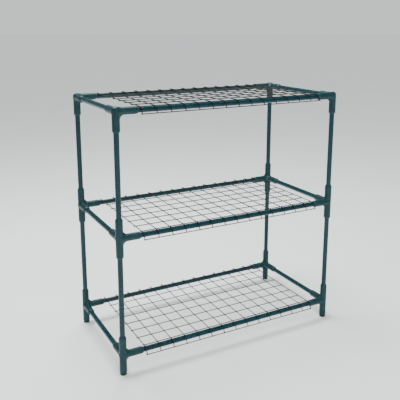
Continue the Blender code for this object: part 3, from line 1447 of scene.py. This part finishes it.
def joined(parts: Iterable[bpy.types.Mesh], name: str) -> bpy.types.Mesh:
    """Put several meshes in one.

    Args:
        parts: the meshes.
        name: name of the result.

    Returns:
        One plain mesh.
    """
    working = bmesh.new()
    for part in parts:
        working.from_mesh(part)
    made = bpy.data.meshes.new(name)
    working.to_mesh(made)
    working.free()
    return made


# ---------------------------------------------------------------------- studio


@dataclass(frozen=True)
class SoftBox:
    """One soft area light."""

    name: str
    place: Point
    aim: Point
    width: float
    height: float
    power: float
    colour: Colour = (1.0, 1.0, 1.0)

    def build(self) -> None:
        """Add the light to the scene."""
        data = bpy.data.lights.new(self.name, "AREA")
        data.shape = "RECTANGLE"
        data.size, data.size_y = self.width, self.height
        data.energy, data.color = self.power, self.colour
        lamp = bpy.data.objects.new(self.name, data)
        lamp.location = self.place
        lamp.rotation_euler = (Vector(self.aim) - Vector(self.place)).to_track_quat("-Z", "Y").to_euler()
        bpy.context.scene.collection.objects.link(lamp)


@dataclass
class Studio:
    """Floor, soft lights and camera."""

    floor_finish: bpy.types.Material
    floor_half: float = 60.0
    world_colour: Colour = (0.96, 0.99, 1.0)
    world_strength: float = 1.0
    world_in_gloss: float = 0.18
    world_behind: float = 0.85
    camera_place: Point = (-0.912, -1.656, 1.013)
    camera_yaw: float = -28.25
    camera_down: float = 12.3
    lens: float = 52.7
    shift_y: float = -0.12
    sensor_width: float = 36.0
    clip: tuple[float, float] = (0.05, 60.0)
    lights: Sequence[SoftBox] = field(
        default_factory=lambda: (
            SoftBox("key_softbox", (-0.6, -3.4, 1.9), (0.0, 0.0, 0.4), width=0.9, height=1.6, power=42.0),
            SoftBox("fill_softbox", (3.2, -1.2, 1.6), (0.0, 0.0, 0.4), width=0.8, height=1.8, power=10.0),
            SoftBox("top_softbox", (-0.3, 0.7, 2.6), (0.0, 0.0, 0.3), width=1.6, height=0.9, power=90.0),
        )
    )

    def floor(self) -> None:
        """Lay the floor."""
        half = self.floor_half
        mesh = bpy.data.meshes.new("studio_floor")
        corners = [(-half, -half, 0.0), (half, -half, 0.0), (half, half, 0.0), (-half, half, 0.0)]
        mesh.from_pydata(corners, [], [(0, 1, 2, 3)])
        mesh.materials.append(self.floor_finish)
        plane = bpy.data.objects.new("studio_floor", mesh)
        bpy.context.scene.collection.objects.link(plane)

    def world(self) -> None:
        """Set the even pale surround, dimmer in reflections and level with the floor where it is seen."""
        world = bpy.data.worlds.new("studio_world")
        world.use_nodes = True
        tree = world.node_tree
        tree.nodes.clear()
        shades = []
        for strength in (self.world_strength, self.world_in_gloss, self.world_behind):
            background = tree.nodes.new("ShaderNodeBackground")
            background.inputs["Color"].default_value = (*self.world_colour, 1.0)
            background.inputs["Strength"].default_value = strength
            shades.append(background.outputs["Background"])
        path = tree.nodes.new("ShaderNodeLightPath")
        around = shades[0]
        for ray, shade in (("Is Glossy Ray", shades[1]), ("Is Camera Ray", shades[2])):
            blend = tree.nodes.new("ShaderNodeMixShader")
            tree.links.new(path.outputs[ray], blend.inputs[0])
            tree.links.new(around, blend.inputs[1])
            tree.links.new(shade, blend.inputs[2])
            around = blend.outputs[0]
        output = tree.nodes.new("ShaderNodeOutputWorld")
        tree.links.new(around, output.inputs["Surface"])
        bpy.context.scene.world = world

    def camera(self) -> None:
        """Set the camera."""
        data = bpy.data.cameras.new("studio_camera")
        data.sensor_width, data.lens, data.shift_y = self.sensor_width, self.lens, self.shift_y
        data.clip_start, data.clip_end = self.clip
        yaw, down = math.radians(self.camera_yaw), math.radians(self.camera_down)
        ahead = Vector((-math.sin(yaw) * math.cos(down), math.cos(yaw) * math.cos(down), -math.sin(down)))
        lens_object = bpy.data.objects.new("studio_camera", data)
        lens_object.location = self.camera_place
        lens_object.rotation_euler = ahead.to_track_quat("-Z", "Y").to_euler()
        bpy.context.scene.collection.objects.link(lens_object)
        bpy.context.scene.camera = lens_object

    def build(self) -> None:
        """Set up the whole studio."""
        self.floor()
        self.world()
        for light in self.lights:
            light.build()
        self.camera()


def main() -> None:
    """Build every sub-assembly in order and report it."""
    logging.basicConfig(level=logging.INFO, format="%(name)s: %(message)s")
    Studio(FloorFinish().build()).build()
    tubes = TubeSet(CoatedTubeFinish().build()).build()
    LOG.info("%d tubes", len(tubes))
    connectors = ConnectorSet(MouldedPlasticFinish().build()).build()
    LOG.info("%d connectors", len(connectors))
    foot_finish = MouldedPlasticFinish("foot_plastic_finish", roughness=0.52, floor_grime=0.35)
    feet = FootSet(foot_finish.build()).build()
    LOG.info("%d feet", len(feet))
    wire_finish = DippedWireFinish().build()
    wires, welds = wire_tree(), weld_tree()
    for tier in Tier:
        shelf = WireShelf(tier, wire_finish, wires, welds).build()
        LOG.info("%s is ready", shelf.name)


if __name__ == "__main__":
    main()
